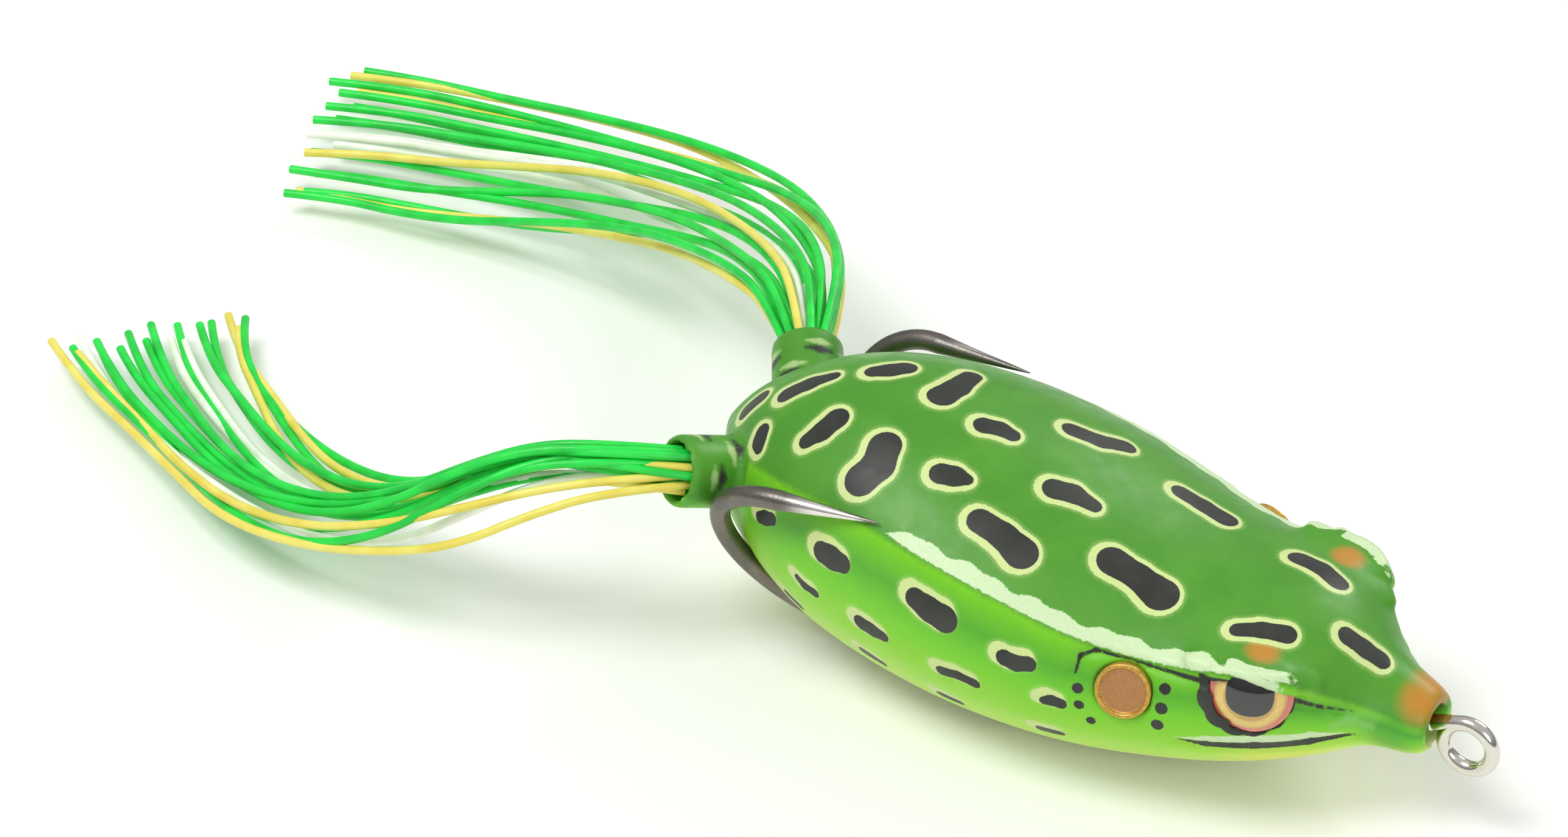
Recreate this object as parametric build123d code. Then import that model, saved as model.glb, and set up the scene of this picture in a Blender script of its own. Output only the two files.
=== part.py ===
from build123d import *
import math
import os

# Hollow-bodied topwater frog lure, in millimetres.
# +X points to the nose, +Y to the frog's left, +Z up.  The origin is on the ground,
# under the middle of the lure without its leg strands.

os.makedirs("parts", exist_ok=True)

# ---------------------------------------------------------------- driving dimensions
SKIN_WALL = 1.5
HEAD_WALL = 2.2             # thicker round the eyes
HEAD_FROM_X = 9.0
CAVITY_X = (-30.0, 20.0)    # stations with an air space inside them

HOOK_WIRE = 1.6
HOOK_EYE = Vector(19.5, 0, 9.6)
HOOK_EYE_R = 1.75           # centreline of the loop that joins the two shanks
HOOK_EYE_WIRE = 1.3
HOOK_CHANNEL_R = 1.05       # slit in the skin round the wire
# Left half of the double hook: loop, shank, then the two corners of the bend.
HOOK_ROUTE = [
    Vector(18.3, 1.25, 9.6),
    Vector(9.0, 2.6, 6.4),
    Vector(-2.0, 4.3, 3.15),
    Vector(-12.0, 5.65, 3.15),
    Vector(-31.6, 5.65, 3.15),
    Vector(-25.3, 12.25, 17.25),
]
HOOK_RADII = [10.0, 12.0, 12.0, 8.7, 6.1]
HOOK_TIP = Vector(-12.6, 11.3, 18.3)
POINT_START = 4.4           # from the last corner to where the point starts to taper
POINT_R = 0.06

TIE_WIRE = 1.2
TIE_RING = Vector(31.15, 0, 7.6)
TIE_RING_R = 1.98           # centreline of the outer ring
TIE_NECK = Vector(27.9, 0, 8.55)
TIE_STEM_R = 0.72
TIE_LOOP_R = 1.5            # centreline of the inner loop, round the hook's eye
NOSE_BORE_R = 1.6
EYE_CHAMBER_R = 2.4         # room in the nose for the hook's eye and the inner loop
EYE_CHAMBER_BACK = 4.0
EYE_CHAMBER_LENGTH = 8.3

TUBE_R = 2.8                # leg tubes of the skin
TUBE_LIP = 0.7
TUBE_BORE_R = 2.25
TUBE_LENGTH = 9.5
TUBE_MOUTH = Vector(-31.5, 9.8, 15.0)
TUBE_AXIS = Vector(-0.49, 0.81, 0.33).normalized()

ROOT_R = 1.86               # uncut end of each leg's strands
ROOT_LENGTH = 7.0
ROOT_GAP = 0.95             # from the root's end to the tube's mouth
BAND_R = 2.2
BAND_BORE_R = 1.9
BAND_WIDTH = 1.8
BAND_DEPTH = 4.0            # from the tube's mouth to the middle of the band

STRAND_D = 0.7
STRAND_PITCH = 0.78         # spacing of the strands where they leave the tube
STRAND_RINGS = 2            # rings round the middle strand: 1 + 6 + 12 strands
STRAND_TWIST = 11           # degrees that the packed bundle is turned
TIP_TRIM = 0.45             # share of the last run that the shortest strand lacks

EYE_R = 3.15
EYE_RIM = 0.5               # height of the eye's straight edge
EYE_DOME = 1.15
EYE_SINK = 0.85             # how far the eye's base stands below its centre point
EYE_CENTRE = Vector(17.7, 9.15, 13.0)
EYE_NORMAL = Vector(0.32, 0.91, 0.22).normalized()
EYE_CUT = 1.75              # height above the centre where the eye ends, under the brow

BROW_CENTRE = Vector(17.1, 7.75, 14.0)  # bump of skin that hangs over each eye
BROW_RADII = (5.4, 1.8, 1.35)
BROW_TURN = -24             # degrees that the bump turns in with the narrowing head
BROW_DIP = 9                # degrees that its front end dips

DISC_R = 2.15
DISC_RIM = 0.3
DISC_THICKNESS = 0.7
DISC_SINK = 0.75
DISC_CENTRE = Vector(8.6, 11.85, 11.5)
DISC_NORMAL = Vector(0.22, 0.93, 0.28).normalized()
SOCKET_CLEARANCE = 0.06

KEEL_X = (-16.0, -4.0)      # belly weight, cast round both shanks
KEEL_HALF_WIDTH = 7.3
KEEL_TOP = 5.0
KEEL_CLEARANCE = 0.3

# Stations of the skin from tail to nose: x, ridge half width, flank half width,
# back height, ridge height, belly height.
STATIONS = [
    (-32.3, 1.0, 1.7, 14.2, 13.1, 10.6),
    (-31.5, 2.2, 3.3, 15.4, 13.5, 9.3),
    (-29.5, 4.9, 6.9, 17.6, 14.7, 6.9),
    (-26.2, 7.3, 10.0, 19.9, 16.1, 4.5),
    (-21.4, 9.6, 12.8, 21.8, 17.2, 2.0),
    (-15.3, 11.1, 14.7, 22.4, 17.7, 0.35),
    (-8.7, 12.1, 15.9, 21.5, 17.0, -0.2),
    (-2.0, 12.3, 16.1, 19.8, 15.8, -0.1),
    (4.0, 11.7, 15.4, 17.9, 14.4, 0.5),
    (10.1, 10.5, 14.0, 16.7, 13.7, 1.6),
    (14.9, 9.6, 12.7, 16.5, 13.9, 2.8),
    (18.9, 8.2, 10.6, 16.0, 13.8, 4.0),
    (22.2, 5.6, 7.3, 14.2, 12.2, 5.2),
    (24.9, 3.5, 4.5, 12.4, 10.6, 6.1),
    (27.8, 2.6, 3.6, 11.3, 9.6, 6.4),
    (28.5, 2.2, 3.2, 10.9, 9.4, 6.7),
]
FLANK_DROP = 0.42           # where the flank is fullest, as a share of ridge to belly
BELLY_FULLNESS = 0.78

# Middle line of each leg, from the tube's mouth to the tips.
RIGHT_LEG = [
    Vector(-31.5, -9.8, 15.0),
    Vector(-35.5, -13.0, 15.6),
    Vector(-40.3, -14.6, 14.2),
    Vector(-45.4, -16.2, 11.6),
    Vector(-51.0, -17.0, 8.3),
    Vector(-57.5, -16.8, 5.4),
    Vector(-64.5, -15.2, 3.6),
    Vector(-71.3, -12.0, 2.5),
    Vector(-77.5, -8.1, 1.9),
    Vector(-83.3, -4.4, 1.7),
    Vector(-88.0, 0.2, 1.6),
]
LEFT_LEG = [
    Vector(-31.5, 9.8, 15.0),
    Vector(-34.2, 14.0, 16.0),
    Vector(-38.0, 18.4, 15.2),
    Vector(-43.1, 22.9, 13.2),
    Vector(-49.4, 27.2, 10.6),
    Vector(-56.6, 30.9, 7.6),
    Vector(-64.4, 33.6, 5.1),
    Vector(-72.5, 34.9, 3.2),
    Vector(-80.5, 34.4, 2.2),
    Vector(-87.8, 33.2, 1.8),
    Vector(-93.6, 31.0, 1.6),
]
# How each leg fans out: spacing of its strands at the tips, and how late it opens.
FANS = {"left": (1.1, 0.75), "right": (1.0, 1.0)}


# ---------------------------------------------------------------- helpers
def other_side(shape):
    """The same shape on the frog's right."""
    return mirror(shape, about=Plane.XZ)


def facing(centre, normal):
    return Plane(origin=centre, z_dir=normal)


def round_bar(centre, axis, radius, length):
    """A bar that starts at centre and runs along axis."""
    return facing(centre, axis) * Cylinder(radius, length, align=(Align.CENTER, Align.CENTER, Align.MIN))


def rod(path, diameter):
    return sweep((path ^ 0) * Circle(diameter / 2), path=path)


def torus_about_y(centre, radius, wire):
    return facing(centre, Vector(0, 1, 0)) * Torus(radius, wire / 2)


# ---------------------------------------------------------------- skin
def section(station, inset=0.0):
    """One cross-section: an arched back between two ridges, and a full belly below them."""
    x, ridge_y, flank_y, back_z, ridge_z, belly_z = station
    ridge_y -= inset
    flank_y -= inset
    back_z -= inset
    ridge_z -= inset / 2
    belly_z += inset
    full_z = ridge_z - FLANK_DROP * (ridge_z - belly_z)
    back = ThreePointArc((x, -ridge_y, ridge_z), (x, 0, back_z), (x, ridge_y, ridge_z))
    left = Bezier(
        (x, ridge_y, ridge_z), (x, flank_y, full_z), (x, BELLY_FULLNESS * flank_y, belly_z), (x, 0, belly_z)
    )
    right = Bezier(
        (x, 0, belly_z), (x, -BELLY_FULLNESS * flank_y, belly_z), (x, -flank_y, full_z), (x, -ridge_y, ridge_z)
    )
    return Face(Wire([back, left, right]))


def body_form():
    """The outer shape; it is cut flat at the ground, so that the lure sits on its belly."""
    length = STATIONS[-1][0] - STATIONS[0][0]
    ground = Box(2 * length, length, 2, align=(Align.CENTER, Align.CENTER, Align.MAX))
    return loft([section(station) for station in STATIONS]) - ground


def cavity():
    inner = []
    for station in STATIONS:
        if CAVITY_X[0] <= station[0] <= CAVITY_X[1]:
            inner.append(section(station, HEAD_WALL if station[0] > HEAD_FROM_X else SKIN_WALL))
    return loft(inner)


def leg_tube():
    length = TUBE_LENGTH
    tube = Cylinder(TUBE_R, length, align=(Align.CENTER, Align.CENTER, Align.MAX))
    tube = fillet(tube.faces().sort_by(Axis.Z)[-1].edges(), TUBE_LIP)
    return facing(TUBE_MOUTH, TUBE_AXIS) * tube


def leg_bore():
    return round_bar(TUBE_MOUTH + TUBE_AXIS, -TUBE_AXIS, TUBE_BORE_R, TUBE_LENGTH + 3)


def brow():
    ball = scale(Sphere(1), by=BROW_RADII)
    return Pos(BROW_CENTRE) * Rot(0, 0, BROW_TURN) * Rot(0, BROW_DIP, 0) * ball


def disc_socket():
    bottom = DISC_CENTRE - DISC_NORMAL * DISC_SINK
    return round_bar(bottom, DISC_NORMAL, DISC_R + SOCKET_CLEARANCE, 6)


def keel_block(grow=0.0):
    low_x, high_x = KEEL_X
    width = 2 * (KEEL_HALF_WIDTH + grow)
    length = high_x - low_x + 2 * grow
    block = Pos((low_x + high_x) / 2, 0, KEEL_TOP / 2 - 1) * Box(length, width, KEEL_TOP + 2 + 2 * grow)
    return fillet(block.edges().filter_by(Axis.Z), 2.0 + grow)


def nose_bore():
    start = HOOK_EYE + Vector(0.5, 0, 0)
    along = (TIE_NECK - start).normalized()
    return round_bar(start, along, NOSE_BORE_R, 14)


def body_skin(hook_channel):
    tube = leg_tube()
    bore = leg_bore()
    lid = brow()
    skin = body_form() + tube + other_side(tube) + lid + other_side(lid)
    skin -= cavity()
    skin -= [bore, other_side(bore)]
    skin -= nose_bore()
    skin -= round_bar(HOOK_EYE - Vector(EYE_CHAMBER_BACK, 0, 0), Vector(1, 0, 0), EYE_CHAMBER_R, EYE_CHAMBER_LENGTH)
    skin -= keel_block(KEEL_CLEARANCE)
    skin -= [hook_channel, other_side(hook_channel)]
    for hole in (eye(SOCKET_CLEARANCE), disc_socket()):
        skin -= [hole, other_side(hole)]
    return skin


# ---------------------------------------------------------------- hook and weight
def hook_path():
    corner = HOOK_ROUTE[-1]
    end = corner + (HOOK_TIP - corner).normalized() * POINT_START
    return FilletPolyline(*HOOK_ROUTE, end, radius=HOOK_RADII), end


def half_hook():
    path, end = hook_path()
    along = HOOK_TIP - end
    point = facing(end, along) * Cone(
        HOOK_WIRE / 2, POINT_R, along.length, align=(Align.CENTER, Align.CENTER, Align.MIN)
    )
    return rod(path, HOOK_WIRE) + point


def double_hook():
    half = half_hook()
    eye = Pos(HOOK_EYE) * Torus(HOOK_EYE_R, HOOK_EYE_WIRE / 2)
    return half + other_side(half) + eye


def keel_weight(hook):
    return (keel_block() & body_form()) - hook


# ---------------------------------------------------------------- line tie
def line_tie():
    """A wire eye: outer ring, neck, stem, and an inner loop linked through the hook's eye."""
    loop_centre = HOOK_EYE + Vector(HOOK_EYE_R, 0, 0)
    to_neck = TIE_NECK - TIE_RING
    tangent = math.degrees(math.acos(TIE_RING_R / to_neck.length))
    tie = torus_about_y(TIE_RING, TIE_RING_R, TIE_WIRE)
    for turn in (tangent, -tangent):
        touch = TIE_RING + to_neck.normalized().rotate(Axis.Y, turn) * TIE_RING_R
        side = TIE_NECK - touch
        tie += round_bar(touch, side, TIE_WIRE / 2, side.length)
    tie += Pos(TIE_NECK) * Sphere(TIE_STEM_R)
    along = (loop_centre - TIE_NECK).normalized()
    tie += round_bar(TIE_NECK, along, TIE_STEM_R, (loop_centre - TIE_NECK).length - TIE_LOOP_R)
    return tie + torus_about_y(loop_centre, TIE_LOOP_R, TIE_WIRE)


# ---------------------------------------------------------------- eyes, discs, leg roots
def eye(grow=0.0):
    """A domed insert, cut off under the brow; grown a little, it is also its socket."""
    radius = EYE_R + grow
    dome_r = (EYE_R**2 + EYE_DOME**2) / (2 * EYE_DOME) + grow
    rim = round_bar(EYE_CENTRE - EYE_NORMAL * (EYE_SINK + grow), EYE_NORMAL, radius, EYE_RIM + EYE_DOME + 2 * grow)
    ball_centre = EYE_CENTRE + EYE_NORMAL * (EYE_RIM - EYE_SINK + EYE_DOME + grow - dome_r)
    lens = rim & (Pos(ball_centre) * Sphere(dome_r))
    up = (Vector(0, 0, 1) - EYE_NORMAL * EYE_NORMAL.Z).normalized()
    above = facing(EYE_CENTRE + up * (EYE_CUT + grow), up) * Box(
        4 * radius, 4 * radius, radius, align=(Align.CENTER, Align.CENTER, Align.MIN)
    )
    return lens - above


def tympanum_disc():
    """A flat round plate with a raised rim."""
    base = DISC_CENTRE - DISC_NORMAL * DISC_SINK
    plate = round_bar(base, DISC_NORMAL, DISC_R, DISC_THICKNESS + DISC_RIM)
    dish = round_bar(base + DISC_NORMAL * DISC_THICKNESS, DISC_NORMAL, DISC_R - 0.4, 1)
    return plate - dish


def leg_root():
    return round_bar(TUBE_MOUTH - TUBE_AXIS * ROOT_GAP, -TUBE_AXIS, ROOT_R, ROOT_LENGTH)


def leg_band():
    start = TUBE_MOUTH - TUBE_AXIS * (BAND_DEPTH - BAND_WIDTH / 2)
    ring = round_bar(start, -TUBE_AXIS, BAND_R, BAND_WIDTH)
    return ring - round_bar(start, -TUBE_AXIS, BAND_BORE_R, BAND_WIDTH)


# ---------------------------------------------------------------- leg strands
def bundle():
    """Places of the strands in the packed bundle: side and height of each, left to right."""
    places = []
    for row in range(-STRAND_RINGS, STRAND_RINGS + 1):
        for column in range(-STRAND_RINGS, STRAND_RINGS + 1):
            if abs(row + column) <= STRAND_RINGS:
                place = Vector(column + row / 2, row * math.sqrt(3) / 2, 0) * STRAND_PITCH
                places.append(place.rotate(Axis.Z, STRAND_TWIST))
    return sorted(places, key=lambda place: place.X)


def strand_route(leg, fan, number):
    """A strand starts at its place in the bundle and ends at its place in the flat fan."""
    places = bundle()
    place = places[number]
    fan_pitch, lateness = fan
    fan_side = (number - (len(places) - 1) / 2) * fan_pitch
    last = len(leg) - 1
    points = []
    for index, middle in enumerate(leg):
        along = TUBE_AXIS if index == 0 else leg[min(index + 1, last)] - leg[index - 1]
        if index == 0 and leg[0].Y < 0:
            along = Vector(TUBE_AXIS.X, -TUBE_AXIS.Y, TUBE_AXIS.Z)
        side = Vector(0, 0, 1).cross(along).normalized()
        up = along.cross(side).normalized()
        share = index / last
        aside = place.X * (1 - share) + fan_side * share**lateness
        points.append(middle + side * aside + up * place.Y * (1 - 0.85 * share))
    trim = TIP_TRIM * (0.5 + 0.5 * math.sin(2.4 * number))
    points[-1] = points[-1] + (points[-2] - points[-1]) * trim
    return points


def gentle_radii(points):
    """Each corner's radius is 0.45 of its shorter run over the tangent of half its turn."""
    radii = []
    for before, here, after in zip(points, points[1:], points[2:]):
        turn = math.radians((here - before).get_angle(after - here))
        shorter = min((here - before).length, (after - here).length)
        radii.append(0.45 * shorter / math.tan(turn / 2))
    return radii


def strand(leg, fan, number):
    points = strand_route(leg, fan, number)
    radii = gentle_radii(points)
    return rod(FilletPolyline(*points, radius=radii), STRAND_D), min(radii)


# ---------------------------------------------------------------- write the pieces
def write(name, shape):
    export_step(shape, f"parts/{name}.step")


def main():
    hook = double_hook()
    channel = rod(hook_path()[0], 2 * HOOK_CHANNEL_R)
    write("body_skin", body_skin(channel))
    write("double_hook", hook)
    write("keel_weight", keel_weight(hook))
    write("line_tie", line_tie())
    for name, make in (
        ("eye", eye),
        ("tympanum_disc", tympanum_disc),
        ("leg_root", leg_root),
        ("leg_band", leg_band),
    ):
        left = make()
        write(f"left_{name}", left)
        write(f"right_{name}", other_side(left))
    tightest = []
    for side, leg in (("left", LEFT_LEG), ("right", RIGHT_LEG)):
        for number in range(len(bundle())):
            solid, radius = strand(leg, FANS[side], number)
            write(f"{side}_leg_strand_{number + 1:02d}", solid)
            tightest.append(radius)
    print(f"tightest bend of a strand: {min(tightest):.1f} mm")


main()
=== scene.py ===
import math

import bmesh
import bpy
import numpy as np
from mathutils import Matrix, Vector
from mathutils.bvhtree import BVHTree


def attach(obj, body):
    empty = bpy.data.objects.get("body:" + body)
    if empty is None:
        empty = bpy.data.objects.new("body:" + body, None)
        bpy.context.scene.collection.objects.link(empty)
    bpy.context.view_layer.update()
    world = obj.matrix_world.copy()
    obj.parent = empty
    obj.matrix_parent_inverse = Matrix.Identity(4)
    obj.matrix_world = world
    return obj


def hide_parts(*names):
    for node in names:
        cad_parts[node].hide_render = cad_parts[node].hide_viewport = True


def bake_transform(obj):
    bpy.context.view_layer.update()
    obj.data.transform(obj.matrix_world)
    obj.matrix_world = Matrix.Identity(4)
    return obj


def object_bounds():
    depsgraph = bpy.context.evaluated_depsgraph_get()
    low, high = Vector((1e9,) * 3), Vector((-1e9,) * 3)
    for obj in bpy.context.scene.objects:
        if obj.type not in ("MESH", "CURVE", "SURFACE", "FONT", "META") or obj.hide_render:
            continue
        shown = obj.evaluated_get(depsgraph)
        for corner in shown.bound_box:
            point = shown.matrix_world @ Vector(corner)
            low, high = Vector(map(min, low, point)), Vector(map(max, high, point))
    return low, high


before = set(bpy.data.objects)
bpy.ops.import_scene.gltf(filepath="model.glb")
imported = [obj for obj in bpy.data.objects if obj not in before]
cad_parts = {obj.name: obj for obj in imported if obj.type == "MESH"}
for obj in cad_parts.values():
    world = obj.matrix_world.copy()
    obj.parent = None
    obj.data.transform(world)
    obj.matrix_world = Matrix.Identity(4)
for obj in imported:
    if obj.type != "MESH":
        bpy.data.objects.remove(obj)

# Looks of the topwater frog lure.  Sizes below are in millimetres and become metres through MM.
# +X is the nose, +Y the frog's left, +Z up, and the ground is at z = 0.
MM = 0.001
cad_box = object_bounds()
SIDES = {"left": 1, "right": -1}

# ---------------------------------------------------------------- the frog's measures
# Ridge between back and flank: x, half width, height; then the belly's height there.
RIDGE = [
    (-32.3, 1.0, 13.1, 10.6),
    (-31.5, 2.2, 13.5, 9.3),
    (-29.5, 4.9, 14.7, 6.9),
    (-26.2, 7.3, 16.1, 4.5),
    (-21.4, 9.6, 17.2, 2.0),
    (-15.3, 11.1, 17.7, 0.35),
    (-8.7, 12.1, 17.0, -0.2),
    (-2.0, 12.3, 15.8, -0.1),
    (4.0, 11.7, 14.4, 0.5),
    (10.1, 10.5, 13.7, 1.6),
    (14.9, 9.6, 13.9, 2.8),
    (18.9, 8.2, 13.8, 4.0),
    (22.2, 5.6, 12.2, 5.2),
    (24.9, 3.5, 10.6, 6.1),
    (27.8, 2.6, 9.6, 6.4),
    (28.5, 2.2, 9.4, 6.7),
]
TUBE_R = 2.8
TUBE_MOUTH = Vector((-31.5, 9.8, 15.0))
TUBE_AXIS = Vector((-0.49, 0.81, 0.33)).normalized()
BROW = (17.1, 7.75, 14.6)
EYE_CENTRE = Vector((17.7, 9.15, 13.0))
EYE_NORMAL = Vector((0.32, 0.91, 0.22)).normalized()
EYE_R = 3.15
EYE_RIM = 0.5
EYE_DOME = 1.15
EYE_SINK = 0.85
EYE_CUT = 1.75              # the eye ends this far above its centre, under the brow
PUPIL_RAISE = 0.3
LID_R = 0.42
LID_SINK = 0.03
LID_ROWS = ((1.65, 0.28), (2.1, 0.14))   # height over the eye's centre, and fall towards the nose
LID_START = -1.6
LID_STEP = 0.3
LID_SPOTS = 17
LID_REACH = math.sqrt(10.5)  # beyond this far from the centre, the lid stops following the lens
DISC_CENTRE = Vector((8.6, 11.85, 11.5))
DISC_NORMAL = Vector((0.22, 0.93, 0.28)).normalized()
DISC_R = 2.15
DISC_SINK = 0.75
DISC_THICKNESS = 0.7
DISC_RIM = 0.3

STRAND_D = 0.7
STRAND_PITCH = 0.78
STRAND_RINGS = 2
STRAND_TWIST = 11
TIP_TRIM = 0.45
STRAND_SINK = 0.85          # how far a strand starts inside its tube
FANS = {"left": (1.1, 0.75), "right": (1.0, 1.0)}   # spacing at the tips, and how late the leg opens
RIGHT_CROSSINGS = ((18, 1), (16, 4), (6, 10), (8, 12))
YELLOW_STRANDS = {"left": (1, 4, 13, 18), "right": (3, 4, 17, 19)}
WHITE_STRANDS = {"left": (10, 11, 12), "right": (7, 9, 16)}
# Strands that wander off their bundle: share of the leg, then how far aside and above.
STRAYS = {
    ("right", 17): [(0.45, 1.2, 0.2), (0.85, -1.6, 0.3)],
    ("right", 18): [(0.42, 3.0, -0.3), (0.72, -1.2, 0.3)],
    ("right", 19): [(0.36, 2.0, -0.2), (0.7, -2.2, 0.4), (0.98, -1.6, 0.3)],
    ("right", 3): [(0.72, -1.6, 0.9)],
    ("right", 1): [(0.9, 1.5, 0.3)],
    ("right", 2): [(0.85, 1.5, 0.3)],
    ("left", 1): [(0.55, -1.0, 0.4)],
    ("left", 4): [(0.42, -3.4, 1.0)],
    ("left", 13): [(0.5, 1.0, 1.2)],
    ("left", 15): [(0.75, 1.6, 0.3)],
    ("left", 16): [(0.8, 2.4, 0.0)],
    ("left", 17): [(0.6, 2.6, -0.2), (0.95, 1.6, 0.4)],
    ("left", 18): [(0.22, 1.6, -0.2), (0.8, 2.6, 0.0)],
    ("left", 19): [(0.7, 2.8, -0.2)],
}
STRAY_WIDTH = 0.2
WANDER_ASIDE = 1.0
WANDER_ABOVE = 0.7
TIP_SCATTER = 1.1
ARCH = (0.24, 0.14, 1.5)    # the right leg's green strands bow up: share of the leg, spread, height
WHITE_SINK = 0.7            # white strands start under the others
WHITE_RISE = 1.6            # and come up through them, between these shares of the leg
WHITE_RISE_FROM, WHITE_RISE_TO = 0.42, 0.62
LEGS = {
    "right": [
        Vector((-31.5, -9.8, 15.0)),
        Vector((-35.5, -13.0, 15.6)),
        Vector((-40.3, -14.6, 14.2)),
        Vector((-45.4, -16.2, 11.6)),
        Vector((-51.0, -17.0, 8.3)),
        Vector((-57.5, -16.8, 5.4)),
        Vector((-64.5, -15.2, 3.6)),
        Vector((-71.3, -12.0, 2.5)),
        Vector((-77.5, -8.1, 1.9)),
        Vector((-83.3, -4.4, 1.7)),
        Vector((-88.0, 0.2, 1.6)),
    ],
    "left": [
        Vector((-31.5, 9.8, 15.0)),
        Vector((-34.2, 14.0, 16.0)),
        Vector((-38.0, 18.4, 15.2)),
        Vector((-43.1, 22.9, 13.2)),
        Vector((-49.4, 27.2, 10.6)),
        Vector((-56.6, 30.9, 7.6)),
        Vector((-64.4, 33.6, 5.1)),
        Vector((-72.5, 34.9, 3.2)),
        Vector((-80.5, 34.4, 2.2)),
        Vector((-87.8, 33.2, 1.8)),
        Vector((-93.6, 31.0, 1.6)),
    ],
}


# ---------------------------------------------------------------- helpers
def link(obj):
    bpy.context.scene.collection.objects.link(obj)
    return obj


def srgb(red, green, blue):
    """A colour given as 0-255 display values, as linear RGBA."""
    def linear(value):
        value /= 255
        return value / 12.92 if value <= 0.04045 else ((value + 0.055) / 1.055) ** 2.4
    return (linear(red), linear(green), linear(blue), 1.0)


def mirrored(vector, side):
    return Vector((vector.x, vector.y * SIDES[side], vector.z))


def eye_frame(side_name):
    """An eye's centre and normal, and the directions forward and up in its plane."""
    centre, normal = mirrored(EYE_CENTRE, side_name), mirrored(EYE_NORMAL, side_name)
    forward = (Vector((1, 0, 0)) - normal * normal.x).normalized()
    up = (Vector((0, 0, 1)) - normal * normal.z).normalized()
    return centre, normal, forward, up


def smooth_step(low, high, value):
    share = np.clip((value - low) / (high - low), 0, 1)
    return share * share * (3 - 2 * share)


def hermite(xs, ys, at):
    """A smooth curve through the points (xs, ys), with finite-difference slopes."""
    xs, ys = np.array(xs), np.array(ys)
    slopes = np.gradient(ys, xs)
    at = np.clip(at, xs[0], xs[-1])
    i = np.clip(np.searchsorted(xs, at) - 1, 0, len(xs) - 2)
    h = xs[i + 1] - xs[i]
    t = (at - xs[i]) / h
    return (
        (2 * t**3 - 3 * t**2 + 1) * ys[i]
        + (t**3 - 2 * t**2 + t) * h * slopes[i]
        + (3 * t**2 - 2 * t**3) * ys[i + 1]
        + (t**3 - t**2) * h * slopes[i + 1]
    )


# ---------------------------------------------------------------- camera, light, floor
AZIMUTH = math.radians(31.3)
ELEVATION = math.radians(35.6)
CAMERA_AIM = Vector((-2.0, 0, 9.3))
CAMERA_DISTANCE = 525
CAMERA_ASIDE = -21.96
CAMERA_RAISE = 12.66
LENS = 159.95


def camera_axes():
    sin_a, cos_a = math.sin(AZIMUTH), math.cos(AZIMUTH)
    sin_e, cos_e = math.sin(ELEVATION), math.cos(ELEVATION)
    right = Vector((cos_a, sin_a, 0))
    up = Vector((-sin_a * sin_e, cos_a * sin_e, cos_e))
    back = Vector((sin_a * cos_e, -cos_a * cos_e, sin_e))
    return right, up, back


def make_camera():
    right, up, back = camera_axes()
    data = bpy.data.cameras.new("camera")
    data.lens = LENS
    data.sensor_width = 36
    data.clip_start = 0.01
    data.clip_end = 20
    camera = link(bpy.data.objects.new("camera", data))
    place = CAMERA_AIM + back * CAMERA_DISTANCE + right * CAMERA_ASIDE + up * CAMERA_RAISE
    turn = Matrix((right, up, back)).transposed().to_4x4()
    camera.matrix_world = Matrix.Translation(place * MM) @ turn
    bpy.context.scene.camera = camera


def area_light(name, place, aim, size, power, colour=(1, 1, 1)):
    data = bpy.data.lights.new(name, "AREA")
    data.shape = "DISK"
    data.size = size
    data.energy = power
    data.color = colour
    light = link(bpy.data.objects.new(name, data))
    light.location = place
    light.rotation_euler = (Vector(aim) - Vector(place)).to_track_quat("-Z", "Y").to_euler()


def make_world():
    world = bpy.data.worlds.new("studio")
    bpy.context.scene.world = world
    world.use_nodes = True
    nodes, links = world.node_tree.nodes, world.node_tree.links
    shade = nodes["Background"]
    place = nodes.new("ShaderNodeTexCoord")
    split = nodes.new("ShaderNodeSeparateXYZ")
    ramp = nodes.new("ShaderNodeValToRGB")
    ramp.color_ramp.elements[0].position = 0.46
    ramp.color_ramp.elements[0].color = (0.22, 0.225, 0.24, 1)
    ramp.color_ramp.elements[1].position = 0.85
    ramp.color_ramp.elements[1].color = (1.0, 1.0, 1.0, 1)
    spread = nodes.new("ShaderNodeMapRange")
    spread.inputs["From Min"].default_value = -1
    links.new(place.outputs["Generated"], split.inputs[0])
    links.new(split.outputs["Z"], spread.inputs["Value"])
    links.new(spread.outputs["Result"], ramp.inputs["Fac"])
    links.new(ramp.outputs["Color"], shade.inputs["Color"])
    shade.inputs["Strength"].default_value = 0.62


def make_stage():
    mesh = bpy.data.meshes.new("floor")
    reach = 3.0
    corners = [(-reach, -reach, 0), (reach, -reach, 0), (reach, reach, 0), (-reach, reach, 0)]
    mesh.from_pydata(corners, [], [(0, 1, 2, 3)])
    floor = link(bpy.data.objects.new("floor", mesh))
    floor.location.z = -0.02 * MM
    paint = Shader("floor_paper", roughness=0.75)
    paint.socket("Base Color", srgb(247, 247, 245))
    mesh.materials.append(paint.material)
    make_world()
    area_light("key", (-0.25, -0.30, 0.75), (0, 0, 0), 0.45, 3.9)
    area_light("fill", (0.55, -0.40, 0.35), (0, 0, 0.01), 0.40, 1.1)
    area_light("rim", (0.10, 0.65, 0.45), (0, 0, 0.01), 0.35, 1.5)


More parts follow.
